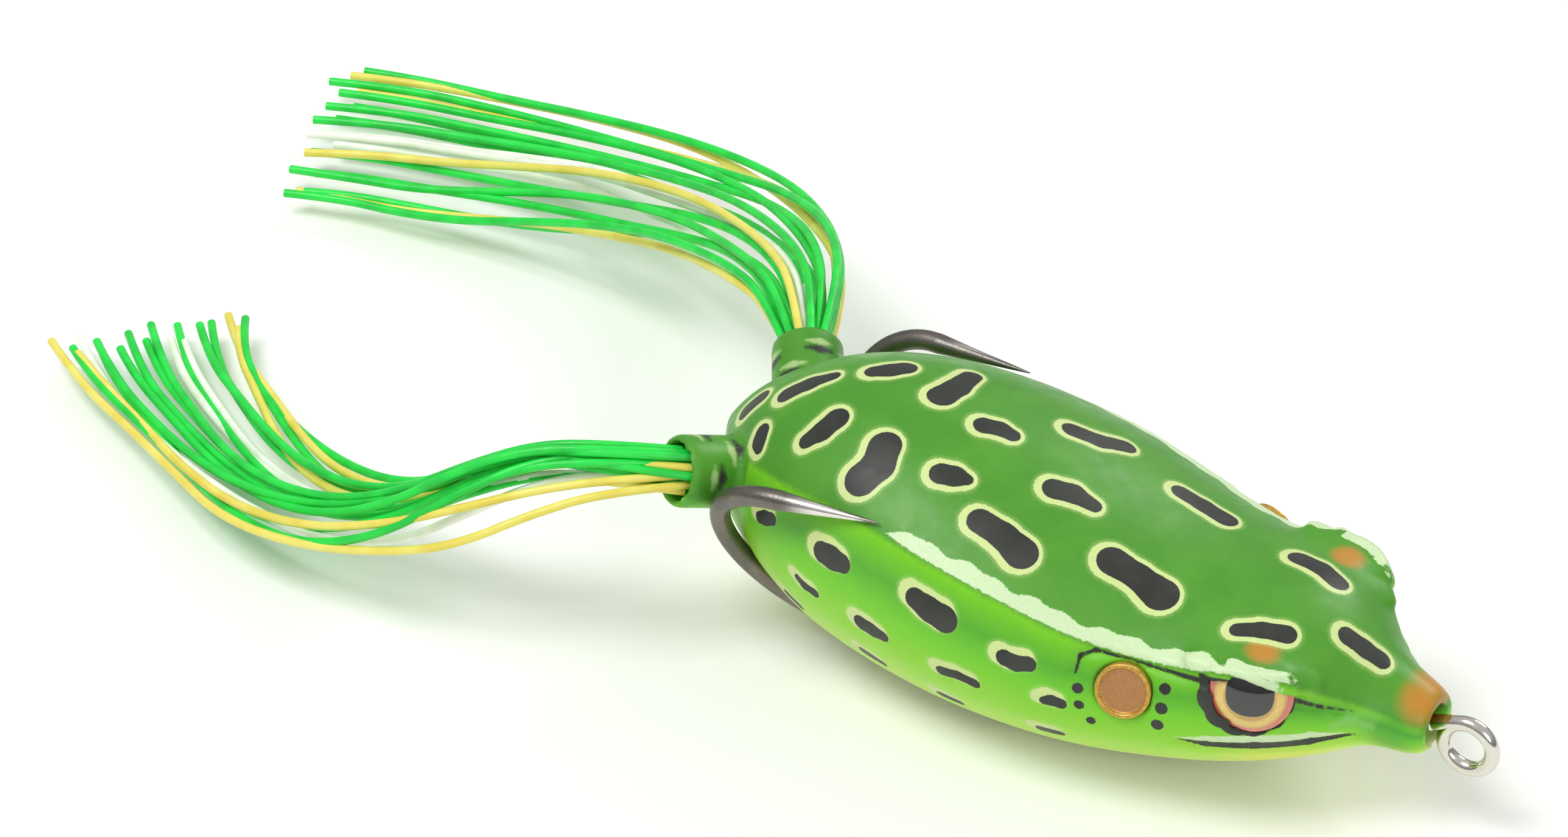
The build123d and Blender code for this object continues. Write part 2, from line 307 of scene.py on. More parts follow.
# ---------------------------------------------------------------- shader building
class Shader:
    """A Principled material with short calls for the nodes that the frog's materials use."""

    def __init__(self, name, roughness=0.5, metallic=0.0, **sockets):
        self.material = bpy.data.materials.new(name)
        self.material.use_nodes = True
        self.tree = self.material.node_tree
        self.shader = self.tree.nodes["Principled BSDF"]
        self.socket("Roughness", roughness)
        self.socket("Metallic", metallic)
        for key, value in sockets.items():
            self.socket(key.replace("_", " ").title().replace("Ior", "IOR"), value)

    def socket(self, name, value):
        if isinstance(value, bpy.types.NodeSocket):
            self.tree.links.new(value, self.shader.inputs[name])
        else:
            self.shader.inputs[name].default_value = value

    def node(self, kind, **inputs):
        node = self.tree.nodes.new(kind)
        for key, value in inputs.items():
            self.feed(node.inputs[key.replace("_", " ")], value)
        return node

    def feed(self, socket, value):
        if isinstance(value, bpy.types.NodeSocket):
            self.tree.links.new(value, socket)
        else:
            socket.default_value = value

    def place(self):
        return self.node("ShaderNodeTexCoord").outputs["Object"]

    def attribute(self, name):
        node = self.node("ShaderNodeAttribute")
        node.attribute_name = name
        return node.outputs["Fac"]

    def noise(self, size_mm, detail=2.0, rough=0.5, vector=None):
        node = self.node("ShaderNodeTexNoise", Scale=1 / (size_mm * MM), Detail=detail, Roughness=rough)
        self.feed(node.inputs["Vector"], vector or self.place())
        return node.outputs["Fac"]

    def math(self, operation, first, second=0.0, third=None):
        node = self.node("ShaderNodeMath")
        node.operation = operation
        self.feed(node.inputs[0], first)
        self.feed(node.inputs[1], second)
        if third is not None:
            self.feed(node.inputs[2], third)
        return node.outputs[0]

    def spread(self, value, low, high, to_low=0.0, to_high=1.0, smooth=True):
        node = self.node("ShaderNodeMapRange")
        node.interpolation_type = "SMOOTHSTEP" if smooth else "LINEAR"
        self.feed(node.inputs["Value"], value)
        self.feed(node.inputs["From Min"], low)
        self.feed(node.inputs["From Max"], high)
        self.feed(node.inputs["To Min"], to_low)
        self.feed(node.inputs["To Max"], to_high)
        return node.outputs["Result"]

    def mix(self, share, first, second):
        node = self.node("ShaderNodeMix")
        node.data_type = "RGBA"
        self.feed(node.inputs[0], share)
        self.feed(node.inputs[6], first)
        self.feed(node.inputs[7], second)
        return node.outputs[2]

    def ramp(self, value, stops):
        node = self.node("ShaderNodeValToRGB")
        elements = node.color_ramp.elements
        while len(elements) < len(stops):
            elements.new(0.5)
        for element, (position, colour) in zip(elements, stops):
            element.position = position
            element.color = colour
        self.feed(node.inputs["Fac"], value)
        return node.outputs["Color"]

    def bump(self, height, distance_mm, strength=1.0):
        node = self.node("ShaderNodeBump", Height=height, Distance=distance_mm * MM, Strength=strength)
        self.socket("Normal", node.outputs["Normal"])

    def jitter(self, value, amount, size_mm, detail=2.0):
        """value moved about by noise, by up to half of amount either way."""
        offset = self.math("MULTIPLY_ADD", self.noise(size_mm, detail, 0.7), amount, -amount / 2)
        return self.math("ADD", value, offset)

    def below(self, value, edge, soft):
        """1 where value is under edge, fading to 0 across soft."""
        return self.spread(value, edge - soft / 2, edge + soft / 2, 1.0, 0.0)


# ---------------------------------------------------------------- leg strands
def bundle():
    """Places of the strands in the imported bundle, in millimetres, left to right."""
    twist = Matrix.Rotation(math.radians(STRAND_TWIST), 2)
    places = []
    for row in range(-STRAND_RINGS, STRAND_RINGS + 1):
        for column in range(-STRAND_RINGS, STRAND_RINGS + 1):
            if abs(row + column) <= STRAND_RINGS:
                place = Vector((column + row / 2, row * math.sqrt(3) / 2)) * STRAND_PITCH
                places.append(twist @ place)
    return sorted(places, key=lambda place: place.x)


def strand_frame(leg, index, side_name):
    """The directions across and above a leg's middle line at one of its points."""
    last = len(leg) - 1
    along = mirrored(TUBE_AXIS, side_name) if index == 0 else leg[min(index + 1, last)] - leg[index - 1]
    side = Vector((0, 0, 1)).cross(along).normalized()
    return along.normalized(), side, along.cross(side).normalized()


def strand_route(side_name, number, start):
    """The strand's route along its leg: from a place in the bundle to the strand's place in the fan."""
    leg = LEGS[side_name]
    places = bundle()
    place = places[start]
    fan_pitch, lateness = FANS[side_name]
    fan_side = (number - (len(places) - 1) / 2) * fan_pitch
    last = len(leg) - 1
    points = []
    for index, middle in enumerate(leg):
        _, side, up = strand_frame(leg, index, side_name)
        share = index / last
        aside = place.x * (1 - share) + fan_side * share**lateness
        points.append(middle + side * aside + up * place.y * (1 - 0.85 * share))
    trim = TIP_TRIM * (0.5 + 0.5 * math.sin(2.4 * number))
    points[-1] = points[-1] + (points[-2] - points[-1]) * trim
    return points


def start_places(side_name):
    """Which place of the bundle each strand starts from; the right leg's strands cross one another."""
    count = len(bundle())
    if side_name == "left":
        return list(range(count))
    start = list(range(count - 1, -1, -1))
    for first, second in RIGHT_CROSSINGS:
        start[first], start[second] = start[second], start[first]
    return start


def loosened(side_name, number, points):
    """The strand as it lies: it wanders over its neighbours, and stays off the floor and in the box."""
    leg = LEGS[side_name]
    last = len(leg) - 1
    low, high = (corner / MM for corner in cad_box)
    half = STRAND_D / 2
    wave = 1.7 * number + (0.9 if side_name == "left" else 0.0)
    strays = STRAYS.get((side_name, number + 1), [])
    white = number + 1 in WHITE_STRANDS[side_name]
    arched = side_name == "right" and number + 1 not in YELLOW_STRANDS[side_name]
    arch_at, arch_width, arch_height = ARCH
    lying = []
    for index, point in enumerate(points):
        along, side, up = strand_frame(leg, index, side_name)
        share = index / last
        loose = math.sin(math.pi * min(1.0, share * 1.15)) ** 1.5
        aside = WANDER_ASIDE * math.sin(wave + 4.2 * share) * loose
        aside += TIP_SCATTER * math.sin(2.1 * wave) * share**2
        above = WANDER_ABOVE * math.cos(1.3 * wave + 5.0 * share) * loose + 0.4 * share
        if arched:
            above += arch_height * math.exp(-(((share - arch_at) / arch_width) ** 2))
        if white:
            risen = float(smooth_step(WHITE_RISE_FROM, WHITE_RISE_TO, share))
            above += (WHITE_RISE * risen - WHITE_SINK) * loose
        for stray_at, stray_aside, stray_above in strays:
            stray = math.exp(-(((share - stray_at) / STRAY_WIDTH) ** 2)) * min(1.0, share * 5)
            aside += stray_aside * stray
            above += stray_above * stray
        point = point + side * aside + up * above
        if index == 0:
            point = point - along * STRAND_SINK
        lying.append(Vector([
            min(max(point.x, low[0] + half), high[0] - half),
            min(max(point.y, low[1] + half), high[1] - half),
            max(point.z, half + 0.05),
        ]))
    return lying


def make_strand(side_name, number, start, materials):
    node = f"{side_name}_leg_strand_{number + 1:02d}"
    points = loosened(side_name, number, strand_route(side_name, number, start))
    curve = bpy.data.curves.new(f"{node}_line", "CURVE")
    curve.dimensions = "3D"
    curve.bevel_depth = STRAND_D / 2 * MM
    curve.bevel_resolution = 3
    curve.use_fill_caps = True
    spline = curve.splines.new("NURBS")
    spline.points.add(len(points) - 1)
    for control, point in zip(spline.points, points):
        control.co = (*(point * MM), 1)
    spline.order_u = 3
    spline.use_endpoint_u = True
    spline.resolution_u = 8
    strand = link(bpy.data.objects.new(f"{side_name}_strand_{number + 1:02d}", curve))
    colour = "green"
    if number + 1 in YELLOW_STRANDS[side_name]:
        colour = "yellow"
    if number + 1 in WHITE_STRANDS[side_name]:
        colour = "white"
    curve.materials.append(materials[colour])
    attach(strand, f"{side_name}_leg")
    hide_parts(node)


def strand_material(name, colour, shade):
    """Soft silicone: a faint haze along the strand, and a fine grain."""
    paint = Shader(
        name, roughness=0.38, subsurface_weight=0.12, subsurface_scale=0.6 * MM, subsurface_radius=(1, 1, 0.7)
    )
    haze = paint.spread(paint.noise(3.0, 2), 0.35, 0.7)
    paint.socket("Base Color", paint.mix(haze, colour, shade))
    paint.socket("Roughness", paint.spread(paint.noise(0.8), 0.3, 0.7, 0.30, 0.48))
    paint.bump(paint.noise(0.22, 3), 0.03, 0.5)
    return paint.material


def make_legs():
    materials = {
        "green": strand_material("strand_green", srgb(30, 222, 74), srgb(22, 196, 62)),
        "yellow": strand_material("strand_yellow", srgb(236, 226, 112), srgb(226, 210, 84)),
        "white": strand_material("strand_white", srgb(243, 247, 235), srgb(222, 232, 208)),
    }
    for side_name in SIDES:
        for number, start in enumerate(start_places(side_name)):
            make_strand(side_name, number, start, materials)
    return materials


# ---------------------------------------------------------------- skin: shape
VOXEL = 0.3
EVENING = [0.5, -0.52] * 6  # takes the remesh's steps off and keeps the size
BROW_SMOOTHING = [0.5] * 90
BROW_REACH = 9.0
CHAIN_BLEND = 0.5           # how softly the round spots of a chain flow together


def vertex_places(mesh):
    flat = np.zeros(len(mesh.vertices) * 3, np.float32)
    mesh.vertices.foreach_get("co", flat)
    return flat.reshape(-1, 3).astype(float) / MM


def put_places(mesh, places):
    mesh.vertices.foreach_set("co", (places * MM).astype(np.float32).ravel())
    mesh.update()


def vertex_normals(mesh):
    flat = np.zeros(len(mesh.vertices) * 3, np.float32)
    mesh.vertices.foreach_get("normal", flat)
    return flat.reshape(-1, 3).astype(float)


def relaxed(mesh, places, shares):
    """Moves every place towards the middle of its neighbours, by each of the shares in turn."""
    ends = np.zeros(len(mesh.edges) * 2, np.int32)
    mesh.edges.foreach_get("vertices", ends)
    first, second = ends.reshape(-1, 2).T
    count = np.bincount(first, minlength=len(places)) + np.bincount(second, minlength=len(places))
    for share in shares:
        total = np.stack([
            np.bincount(first, places[second, axis], len(places))
            + np.bincount(second, places[first, axis], len(places))
            for axis in range(3)
        ], axis=1)
        places = places + share * (total / count[:, None] - places)
    return places


def lid_rows(side_name):
    """Rows of round spots over the eye's upper front edge, where the lid hangs over the lens."""
    centre, normal, forward, up = eye_frame(side_name)
    ball_r = (EYE_R**2 + EYE_DOME**2) / (2 * EYE_DOME)
    top = EYE_RIM - EYE_SINK + EYE_DOME
    rows = []
    for height, slope in LID_ROWS:
        row = []
        for step in range(LID_SPOTS):
            ahead = LID_START + LID_STEP * step
            above = height - slope * ahead
            out = top - ball_r + math.sqrt(ball_r**2 - min(ahead**2 + above**2, LID_REACH**2))
            middle = centre + forward * ahead + up * above + normal * (out - LID_SINK)
            row.append((*middle, LID_R))
        rows.append(row)
    return rows


def remeshed_skin():
    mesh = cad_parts["body_skin"].data.copy()
    joined = bmesh.new()
    joined.from_mesh(mesh)
    bmesh.ops.remove_doubles(joined, verts=joined.verts, dist=0.001 * MM)
    for side_name in SIDES:
        for *spot, radius in sum(lid_rows(side_name), []):
            place = Matrix.Translation(Vector(spot) * MM)
            bmesh.ops.create_icosphere(joined, subdivisions=2, radius=radius * MM, matrix=place)
    joined.to_mesh(mesh)
    joined.free()
    skin = link(bpy.data.objects.new("frog_skin", mesh))
    even = skin.modifiers.new("even", "REMESH")
    even.mode = "VOXEL"
    even.voxel_size = VOXEL * MM
    shown = skin.evaluated_get(bpy.context.evaluated_depsgraph_get())
    fine = bpy.data.meshes.new_from_object(shown)
    skin.modifiers.clear()
    skin.data = fine
    for face in fine.polygons:
        face.use_smooth = True
    fine.materials.clear()
    places = relaxed(fine, vertex_places(fine), EVENING)
    soft = (near(places, BROW, BROW_REACH) * smooth_step(0.1, 0.8, away_from_eye(places)))[:, None]
    put_places(fine, places * (1 - soft) + relaxed(fine, places, BROW_SMOOTHING) * soft)
    return skin


def away_from_eye(places):
    """Distance from each place to the nearer eye and disc; an eye ends at its cut, under the brow."""
    nearest = np.full(len(places), 1e3)
    for side_name in SIDES:
        centre, _, _, up = eye_frame(side_name)
        off = places - np.array(centre)
        from_eye = np.maximum(np.linalg.norm(off, axis=1) - EYE_R, off @ np.array(up) - EYE_CUT)
        off = places - np.array(mirrored(DISC_CENTRE, side_name))
        nearest = np.minimum(nearest, np.minimum(from_eye, np.linalg.norm(off, axis=1) - DISC_R))
    return nearest


def ridge_at(x):
    """Half width and height of the ridge, and height of the belly, at stations x."""
    table = np.array(RIDGE).T
    return [hermite(table[0], column, x) for column in table[1:]]


def capsules(places, chain):
    """Signed distance from places to a chain of round spots (x, y, z, radius), in millimetres."""
    nearest = np.full(len(places), 1e3)
    for start, end in zip(chain, chain[1:]):
        a, b = np.array(start[:3]), np.array(end[:3])
        along = b - a
        share = np.clip(((places - a) @ along) / max(along @ along, 1e-9), 0, 1)
        radius = start[3] + share * (end[3] - start[3])
        distance = np.linalg.norm(places - a - share[:, None] * along, axis=1) - radius
        blend = np.clip(0.5 + 0.5 * (nearest - distance) / CHAIN_BLEND, 0, 1)
        nearest = nearest * (1 - blend) + distance * blend - CHAIN_BLEND / 2 * blend * (1 - blend)
    return nearest


class Surface:
    """Drops points given in plan or from the side onto the frog's outer skin."""

    def __init__(self, mesh):
        corners = [tuple(vertex.co) for vertex in mesh.vertices]
        faces = [tuple(face.vertices) for face in mesh.polygons]
        self.tree = BVHTree.FromPolygons(corners, faces)

    def from_above(self, x, y):
        hit = self.tree.ray_cast(Vector((x, y, 60)) * MM, Vector((0, 0, -1)))[0]
        return tuple(hit / MM)

    def from_side(self, x, z, side):
        hit = self.tree.ray_cast(Vector((x, 60 * side, z)) * MM, Vector((0, -side, 0)))[0]
        return tuple(hit / MM)


# ---------------------------------------------------------------- skin: where the paint goes
# Dark spots on the back: chains of x, y, radius.
BACK_SPOTS = [
    [(8.1, -5.6, 1.4), (6.0, -5.2, 1.05), (3.9, -5.2, 1.2)],
    [(-15.2, -6.1, 1.25), (-14.9, -7.6, 1.25), (-15.6, -8.8, 1.3)],
    [(-2.0, -8.6, 1.25), (-3.8, -8.2, 1.0), (-5.8, -8.1, 0.95)],
    [(8.0, 4.8, 0.9), (6.0, 5.0, 0.85), (4.1, 5.0, 0.8)],
    [(-1.4, 6.3, 0.75), (-2.9, 4.9, 0.8), (-4.9, 4.2, 0.8)],
    [(18.4, 2.9, 0.85), (16.6, 3.6, 0.85), (14.8, 3.7, 0.85)],
    [(0.4, -1.9, 0.55), (-1.3, -2.0, 0.85), (-2.6, -2.6, 0.9)],
    [(-13.8, 4.5, 0.75), (-13.7, 2.0, 0.95), (-14.0, 0.3, 1.1)],
    [(18.0, -4.4, 0.75), (16.3, -5.0, 0.65), (14.7, -5.8, 0.55)],
    [(-20.1, -4.9, 0.95), (-20.7, -6.0, 0.85), (-21.6, -6.8, 0.6)],
    [(23.9, -0.4, 0.7), (22.7, -0.8, 0.7), (21.4, -1.2, 0.7)],
    [(-7.7, -0.1, 0.6), (-8.7, -0.1, 0.7), (-9.8, -0.6, 0.8)],
    [(-8.3, -5.8, 0.45), (-9.2, -6.0, 0.8), (-10.2, -6.3, 0.85)],
    [(-18.4, 2.2, 0.95), (-19.2, 1.4, 0.95), (-20.1, 0.8, 0.8)],
    [(-26.3, -5.5, 0.7), (-26.2, -6.1, 0.7), (-25.9, -6.6, 0.45)],
    [(-26.0, -2.4, 0.8), (-24.5, -1.4, 0.8), (-23.0, -0.5, 0.5)],
    [(-28.6, -1.8, 0.7), (-29.6, -2.6, 0.7)],
]
# Dark spots on the flanks: chains of x, z, radius.
FLANK_SPOTS = [
    [(-5.7, 13.5, 1.0), (-7.1, 13.8, 0.9), (-8.3, 14.2, 0.75)],
    [(1.4, 12.0, 0.5), (0.4, 11.8, 0.5), (-0.5, 12.0, 0.55)],
    [(-15.2, 14.2, 0.7), (-16.2, 14.2, 0.85), (-17.1, 14.2, 0.8)],
    [(-11.1, 9.5, 0.4), (-12.2, 9.6, 0.55), (-13.2, 9.7, 0.6)],
    [(-2.9, 8.7, 0.35), (-4.3, 8.9, 0.3), (-5.8, 8.7, 0.35)],
    [(-17.8, 10.1, 0.3), (-18.9, 10.2, 0.25), (-19.6, 10.6, 0.2)],
    [(4.1, 9.3, 0.37), (3.4, 9.4, 0.33), (2.8, 9.2, 0.26)],
    [(-22.6, 14.1, 0.4), (-23.4, 13.7, 0.45), (-24.1, 13.3, 0.36)],
    [(-20.2, 6.8, 0.3), (-21.4, 7.3, 0.34)],
    [(-12.0, 5.6, 0.3), (-13.8, 5.9, 0.36)],
    [(-5.0, 5.0, 0.28), (-6.6, 5.1, 0.34)],
    [(3.6, 5.6, 0.26), (2.0, 5.5, 0.32)],
]
# Small round dots in front of and behind each bronze disc: x, z, radius.
FLANK_DOTS = [
    (11.6, 12.3, 0.46),
    (11.6, 10.8, 0.5),
    (11.4, 9.3, 0.5),
    (5.3, 11.0, 0.46),
    (5.5, 9.6, 0.42),
    (6.4, 8.3, 0.4),
]
BACK_RIM = 0.46             # width of the pale outline round a spot
BACK_RIM_SHIFT = (0.13, 0.08, 0)
BACK_GROW = 0.08            # added to every spot's radius
FLANK_GROW = 0.14
FLANK_RIM_SHIFT = (-0.42, 0.28)
FLANK_RIM_GROW = 0.42
# The mouth and the dark crease under the brow: x, z, half width.
MOUTH = [(12.8, 7.9, 0.08), (14.8, 7.8, 0.34), (18.1, 8.0, 0.46), (21.5, 8.2, 0.42), (24.0, 8.4, 0.14)]
LIP = [(12.6, 8.3, 0.08), (15.0, 8.6, 0.46), (18.1, 9.0, 0.6), (21.5, 9.05, 0.5), (23.4, 8.9, 0.12)]
CREASE = [(4.9, 12.1, 0.12), (5.0, 13.4, 0.16), (6.0, 13.95, 0.16), (10.0, 13.6, 0.14), (14.2, 13.35, 0.22)]
FRONT_CREASE = [(20.6, 12.35, 0.2), (22.0, 11.5, 0.14), (23.8, 10.7, 0.07)]
NOSTRIL = [(22.6, 10.0, 0.1), (23.6, 10.15, 0.25), (25.0, 9.6, 0.15)]
# Short cross marks on the leg tubes: depth from the mouth, angle from the top, half length.
TUBE_MARKS = [
    (1.9, 20, 1.1),
    (2.3, 78, 1.0),
    (4.0, -25, 1.2),
    (4.5, 48, 1.2),
    (6.2, 15, 1.1),
    (2.2, -70, 1.0),
]
# The white stripe along the ridge: where it swells in at the back and tapers off at the nose.
STRIPE_START = (-14.5, -8.5)
STRIPE_END = (19.5, 22.8)
STRIPE_WIDTH = 1.25
STRIPE_NARROWING = 0.75     # over the eye
# Airbrushed patches: centre and radius.
BROW_ORANGE = ((17.3, 6.7, 15.3), 2.5)
NOSE_ORANGE = ((27.4, 0.9, 10.6), 3.3)
NOSE_TINT = ((26.2, 3.0, 8.6), 3.0)
CHIN_YELLOW = ((19.5, 7.6, 6.6), 6.0)


def spot_distances(places, surface):
    """Distance to the dark spots, and to their pale outlines."""
    dark = np.full(len(places), 1e3)
    pale = np.full(len(places), 1e3)
    for chain in BACK_SPOTS:
        on_skin = [(*surface.from_above(x, y), radius + BACK_GROW) for x, y, radius in chain]
        dark = np.minimum(dark, capsules(places, on_skin))
        pale = np.minimum(pale, capsules(places + np.array(BACK_RIM_SHIFT), on_skin) - BACK_RIM)
    for side in SIDES.values():
        for chain in FLANK_SPOTS:
            on_skin = [(*surface.from_side(x, z, side), radius + FLANK_GROW) for x, z, radius in chain]
            dark = np.minimum(dark, capsules(places, on_skin))
            shift_x, shift_z = FLANK_RIM_SHIFT
            behind = [
                (*surface.from_side(x + shift_x, z + shift_z, side), radius + FLANK_RIM_GROW)
                for x, z, radius in chain
            ]
            pale = np.minimum(pale, capsules(places, behind))
        for x, z, radius in FLANK_DOTS:
            spot = np.array(surface.from_side(x, z, side))
            distance = np.linalg.norm(places - spot, axis=1) - radius
            dark = np.minimum(dark, distance)
    return dark, pale


def line_distance(places, surface, chain):
    nearest = np.full(len(places), 1e3)
    for side in SIDES.values():
        on_skin = [(*surface.from_side(x, z, side), radius) for x, z, radius in chain]
        nearest = np.minimum(nearest, capsules(places, on_skin))
    return nearest


def tube_distances(places):
    """Distance to the dark and the pale halves of the marks on the leg tubes."""
    dark = np.full(len(places), 1e3)
    pale = np.full(len(places), 1e3)
    for side_name in SIDES:
        mouth = np.array(mirrored(TUBE_MOUTH, side_name))
        axis = mirrored(TUBE_AXIS, side_name)
        across = np.array(axis.cross(Vector((0, 0, 1))).normalized())
        top = np.array(Vector(across).cross(axis).normalized())
        axis = np.array(axis)
        depth = -(places - mouth) @ axis
        aside, above = (places - mouth) @ across, (places - mouth) @ top
        away = np.hypot(aside, above)
        round_the_tube = np.stack([depth, np.arctan2(aside, above) * TUBE_R, away - TUBE_R], axis=1)
        for along, angle, half in TUBE_MARKS:
            middle = math.radians(angle) * TUBE_R
            start, end = middle - half, middle + half
            dark_mark = [
                (along + 0.35, start, 0, 0.16),
                (along + 0.45, middle, 0, 0.34),
                (along + 0.35, end, 0, 0.16),
            ]
            pale_mark = [
                (along - 0.3, start, 0, 0.14),
                (along - 0.25, middle, 0, 0.36),
                (along - 0.3, end, 0, 0.12),
            ]
            dark = np.minimum(dark, capsules(round_the_tube, dark_mark))
            pale = np.minimum(pale, capsules(round_the_tube, pale_mark))
    return dark, pale


def tube_top(places):
    """Share of each place that belongs to a leg tube, and its height over the tube's lower side."""
    share = np.zeros(len(places))
    height = np.zeros(len(places))
    for side_name in SIDES:
        axis = mirrored(TUBE_AXIS, side_name)
        up = np.array((Vector((0, 0, 1)) - axis * axis.z).normalized())
        off = places - np.array(mirrored(TUBE_MOUTH, side_name))
        depth = -(off @ np.array(axis))
        away = np.linalg.norm(off + depth[:, None] * np.array(axis), axis=1)
        here = (1 - smooth_step(TUBE_R + 0.1, TUBE_R + 1.1, away)) * (1 - smooth_step(5.5, 8.5, depth))
        height = np.where(here > share, off @ up + 1.1, height)
        share = np.maximum(share, here)
    return share, height


def eye_patch_distance(places):
    """Distance to the black scalloped patch round the eye: behind, below and in front of it."""
    nearest = np.full(len(places), 1e3)
    for side_name in SIDES:
        centre, _, forward, up = eye_frame(side_name)
        off = places - np.array(centre)
        ahead, above = off @ np.array(forward), off @ np.array(up)
        away = np.linalg.norm(off, axis=1)
        angle = np.arctan2(above, ahead)
        reach = EYE_R + 0.38 + 0.32 * np.cos(angle - 2.9) + 0.22 * np.abs(np.sin(6 * angle))
        distance = np.maximum(away - reach, above - 1.3)
        nearest = np.minimum(nearest, distance)
    return nearest


def near(places, centre, radius):
    """1 at centre and 0 from radius on, smoothly, on both sides."""
    share = np.zeros(len(places))
    for side in SIDES.values():
        away = np.linalg.norm(places - np.array([centre[0], centre[1] * side, centre[2]]), axis=1)
        share = np.maximum(share, 1 - smooth_step(0.15 * radius, radius, away))
    return share


def stripe_distance(x, over):
    """Signed distance to the white stripe, whose edges are wavy and whose ends taper off."""
    width = STRIPE_WIDTH + 0.16 * np.sin(1.1 * x) + 0.14 * np.sin(2.3 * x + 1)
    width -= STRIPE_NARROWING * smooth_step(13.5, 17, x)
    taper = smooth_step(*STRIPE_START, x) * (1 - smooth_step(*STRIPE_END, x))
    return np.abs(over - 0.2 - width * taper / 2) - width * taper / 2 + 0.3 * (1 - taper)


def paint_places(places, surface):
    """Where each coat of the skin's paint goes: a number for every point of the skin, by name."""
    x, y, z = places.T
    half_width, ridge_z, belly_z = ridge_at(x)
    over = ((z - ridge_z) + 0.9 * (half_width - np.abs(y))) / 1.345
    on_tube, tube_over = tube_top(places)
    over = over * (1 - on_tube) + tube_over * on_tube
    dark, pale = spot_distances(places, surface)
    tube_dark, tube_pale = tube_distances(places)
    stripe = stripe_distance(x, over)
    patch = eye_patch_distance(places)
    for side_name in SIDES:
        for row in lid_rows(side_name):
            lid = capsules(places, row)
            stripe = np.minimum(stripe, lid - 0.02 + 0.3 * np.maximum(x - 19.4, 0))
            patch = np.maximum(patch, 0.12 - lid)
    orange = np.maximum(near(places, *BROW_ORANGE), near(places, *NOSE_ORANGE) * smooth_step(8.6, 9.8, z))
    chin = near(places, *CHIN_YELLOW) * smooth_step(4.6, 5.6, z) * (1 - smooth_step(6.8, 7.8, z))
    return {
        "over_mm": over,
        "level": (ridge_z - z) / (ridge_z - belly_z),
        "dark_mm": dark,
        "pale_mm": pale,
        "mouth_mm": line_distance(places, surface, MOUTH),
        "crease_mm": np.minimum(
            line_distance(places, surface, CREASE), line_distance(places, surface, FRONT_CREASE)
        ),
        "lip_mm": line_distance(places, surface, LIP),
        "tube_dark_mm": tube_dark,
        "tube_pale_mm": tube_pale,
        "patch_mm": patch,
        "stripe_mm": stripe,
        "nostril_mm": line_distance(places, surface, NOSTRIL),
        "orange": orange,
        "nose_tint": near(places, *NOSE_TINT),
        "chin": chin,
    }


def relief(x, paint):
    """Height of the moulded detail: nostril and brow edge stand up, mouth and creases sink in."""
    nostril, mouth, crease = (np.maximum(paint[name], 0) for name in ("nostril_mm", "mouth_mm", "crease_mm"))
    overhang = np.exp(-(((paint["over_mm"] - 0.25) / 0.6) ** 2))
    overhang = overhang * smooth_step(2, 7, x) * (1 - smooth_step(19, 23, x))
    rise = 0.22 * np.exp(-((nostril / 0.5) ** 2)) + 0.12 * overhang
    rise -= 0.3 * np.exp(-((mouth / 0.28) ** 2))
    rise -= 0.25 * np.exp(-((crease / 0.3) ** 2))
    return rise


def make_skin():
    skin = remeshed_skin()
    mesh = skin.data
    places = vertex_places(mesh)
    paint = paint_places(places, Surface(mesh))
    places = places + vertex_normals(mesh) * relief(places[:, 0], paint)[:, None]
    places[:, 2] = np.maximum(places[:, 2], 0)
    put_places(mesh, places)
    for name, numbers in paint.items():
        layer = mesh.attributes.new(name, "FLOAT", "POINT")
        layer.data.foreach_set("value", np.asarray(numbers, np.float32))
    mesh.materials.append(skin_material())
    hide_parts("body_skin")
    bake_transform(skin)


